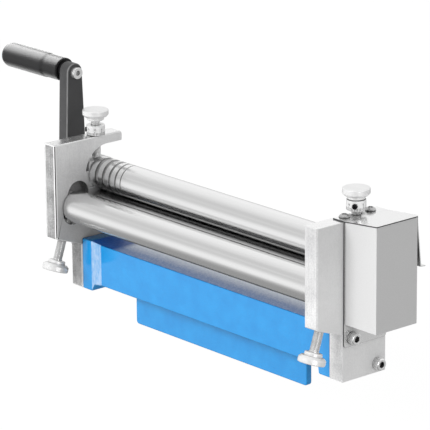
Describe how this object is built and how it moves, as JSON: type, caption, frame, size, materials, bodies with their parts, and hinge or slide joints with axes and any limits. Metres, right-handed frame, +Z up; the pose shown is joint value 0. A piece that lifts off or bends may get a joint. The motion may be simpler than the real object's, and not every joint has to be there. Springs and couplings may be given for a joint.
{
  "type": "slip roll machine",
  "caption": "Hand-cranked slip roll with steel rolls between end plates, geared pinch rolls under a sheet cover, screw-set bending roll, and a blue cast base with a vice tongue",
  "frame": {"origin": "middle of the lower edge of the vice tongue, in the plane of the two pinch rolls", "axes": "X runs along the rolls towards the gear cover, -Y is the bending roll's side, Z is up"},
  "size_m": [0.4897, 0.0923, 0.216],
  "materials": {
    "casting_blue": "bright blue gloss enamel over a sand casting",
    "plate_steel": "milled and bead-blasted steel, satin",
    "roll_steel": "ground and polished steel",
    "sheet_steel": "polished stainless sheet",
    "knob_steel": "bright plated turned steel with fine knurling",
    "fastener_steel": "zinc-plated steel",
    "block_iron": "machined grey iron, oiled",
    "gear_steel": "cut gear steel, oiled",
    "bush_bronze": "sintered bronze",
    "dark_steel": "black-oxide steel",
    "arm_black": "black paint with a fine texture, semi-gloss",
    "grip_black": "moulded black phenolic, glossy"
  },
  "bodies": {
    "frame": {"base_casting": "casting_blue", "left_end_plate": "plate_steel", "right_end_plate": "plate_steel", "left_plate_screws": "fastener_steel", "right_plate_screws": "fastener_steel", "left_lower_bush": "bush_bronze", "right_lower_bush": "bush_bronze", "gear_back_sheet": "sheet_steel", "gear_cover_box": "sheet_steel", "gear_cover_lid": "sheet_steel", "lid_screws": "fastener_steel"},
    "drive": {"lower_roll": "roll_steel", "lower_gear": "gear_steel", "lower_gear_key": "dark_steel", "lower_gear_circlip": "dark_steel", "crank_arm": "arm_black", "crank_key": "dark_steel", "crank_washer": "fastener_steel", "crank_end_screw": "fastener_steel", "grip_spindle": "fastener_steel", "grip_washer": "dark_steel", "grip_clip": "dark_steel"},
    "grip": {"crank_grip": "grip_black"},
    "nip_slide": {"left_bearing_block": "block_iron", "right_bearing_block": "block_iron"},
    "upper": {"upper_roll": "roll_steel", "upper_gear": "gear_steel", "upper_gear_key": "dark_steel", "upper_gear_circlip": "dark_steel"},
    "left_nip": {"left_nip_screw": "knob_steel", "left_dial": "knob_steel", "left_set_screw": "dark_steel"},
    "right_nip": {"right_nip_screw": "knob_steel", "right_dial": "knob_steel", "right_set_screw": "dark_steel"},
    "bend_slide": {"left_bend_bush": "plate_steel", "right_bend_bush": "plate_steel"},
    "bend": {"bending_roll": "roll_steel"},
    "left_bend": {"left_bend_screw": "knob_steel"},
    "right_bend": {"right_bend_screw": "knob_steel"}
  },
  "joints": [
    {"name": "crank_turn", "type": "hinge", "parent": "frame", "child": "drive", "pos_m": [0, 0, 0.0955], "axis": [1, 0, 0], "continuous": true},
    {"name": "grip_turn", "type": "hinge", "parent": "drive", "child": "grip", "pos_m": [-0.2, 0, 0.2053], "axis": [1, 0, 0], "continuous": true},
    {"name": "nip_lift", "type": "slide", "parent": "frame", "child": "nip_slide", "axis": [0, 0, 1], "range_m": [0, 0.0012]},
    {"name": "upper_turn", "type": "hinge", "parent": "nip_slide", "child": "upper", "pos_m": [0, 0, 0.124], "axis": [1, 0, 0], "continuous": true},
    {"name": "left_nip_turn", "type": "hinge", "parent": "nip_slide", "child": "left_nip", "pos_m": [-0.1615, 0, 0.17], "axis": [0, 0, 1], "range_deg": [0, 433]},
    {"name": "right_nip_turn", "type": "hinge", "parent": "nip_slide", "child": "right_nip", "pos_m": [0.1615, 0, 0.17], "axis": [0, 0, 1], "range_deg": [0, 433]},
    {"name": "bend_lift", "type": "slide", "parent": "frame", "child": "bend_slide", "axis": [0, 0.3256, 0.9455], "range_m": [-0.0055, 0.011]},
    {"name": "bend_roll_turn", "type": "hinge", "parent": "bend_slide", "child": "bend", "pos_m": [0, -0.02884, 0.09929], "axis": [1, 0, 0], "continuous": true},
    {"name": "left_bend_turn", "type": "hinge", "parent": "bend_slide", "child": "left_bend", "pos_m": [-0.1615, -0.02884, 0.09929], "axis": [0, 0.3256, 0.9455], "range_deg": [-1985, 3965]},
    {"name": "right_bend_turn", "type": "hinge", "parent": "bend_slide", "child": "right_bend", "pos_m": [0.1615, -0.02884, 0.09929], "axis": [0, 0.3256, 0.9455], "range_deg": [-1985, 3965]}
  ],
  "couplings": [
    {"joint": "upper_turn", "follows": "crank_turn", "ratio": -1},
    {"joint": "left_nip_turn", "follows": "nip_lift", "rad_per_m": 6283.2},
    {"joint": "right_nip_turn", "follows": "nip_lift", "rad_per_m": 6283.2},
    {"joint": "left_bend_turn", "follows": "bend_lift", "rad_per_m": 6283.2},
    {"joint": "right_bend_turn", "follows": "bend_lift", "rad_per_m": 6283.2}
  ]
}
